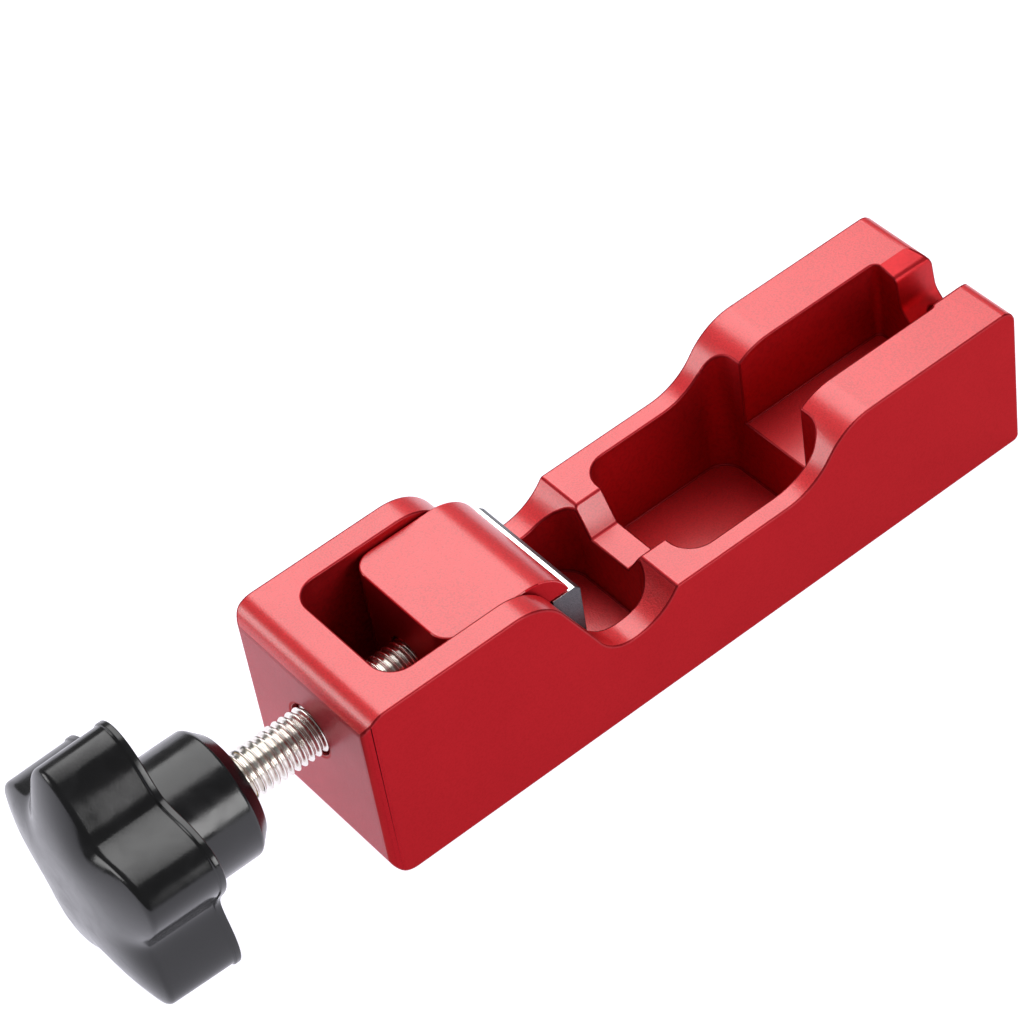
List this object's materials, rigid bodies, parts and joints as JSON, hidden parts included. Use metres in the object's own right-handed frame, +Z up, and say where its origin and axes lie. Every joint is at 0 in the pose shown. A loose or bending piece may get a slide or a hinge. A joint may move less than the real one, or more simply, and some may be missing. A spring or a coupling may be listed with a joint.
{
  "type": "screw jaw gap setting tool",
  "caption": "Milled metal block with open pockets and a saddle, a sliding jaw with a steel face, and a lead screw turned by a star knob.",
  "frame": {"origin": "centre of the flat underside of the body", "axes": "+X along the lead screw from the knob end to the far end, +Y across the body, +Z up"},
  "size_m": [0.1674, 0.0403, 0.0414],
  "materials": {
    "red_anodised": "blasted and red anodised",
    "hardened_steel": "dark hardened steel, ground front",
    "stainless": "bright rolled thread",
    "brass": "turned",
    "black_plastic": "glossy moulded"
  },
  "bodies": {
    "body": {"body": "red_anodised"},
    "jaw": {"jaw_block": "red_anodised", "jaw_face_plate": "hardened_steel", "face_screw_near": "stainless", "face_screw_far": "stainless", "retaining_pin_near": "stainless", "retaining_pin_far": "stainless"},
    "screw": {"lead_screw": "stainless", "knob_insert": "brass", "star_knob": "black_plastic"}
  },
  "joints": [
    {"name": "jaw_slide", "type": "slide", "parent": "body", "child": "jaw", "axis": [1, 0, 0], "range_m": [-0.00975, 0.00975]},
    {"name": "knob_turn", "type": "hinge", "parent": "jaw", "child": "screw", "pos_m": [-0.0766, 0, 0.0205], "axis": [1, 0, 0], "range_deg": [-2810, 2810]}
  ],
  "couplings": [
    {"joint": "knob_turn", "follows": "jaw_slide", "rad_per_m": 5026.5}
  ]
}
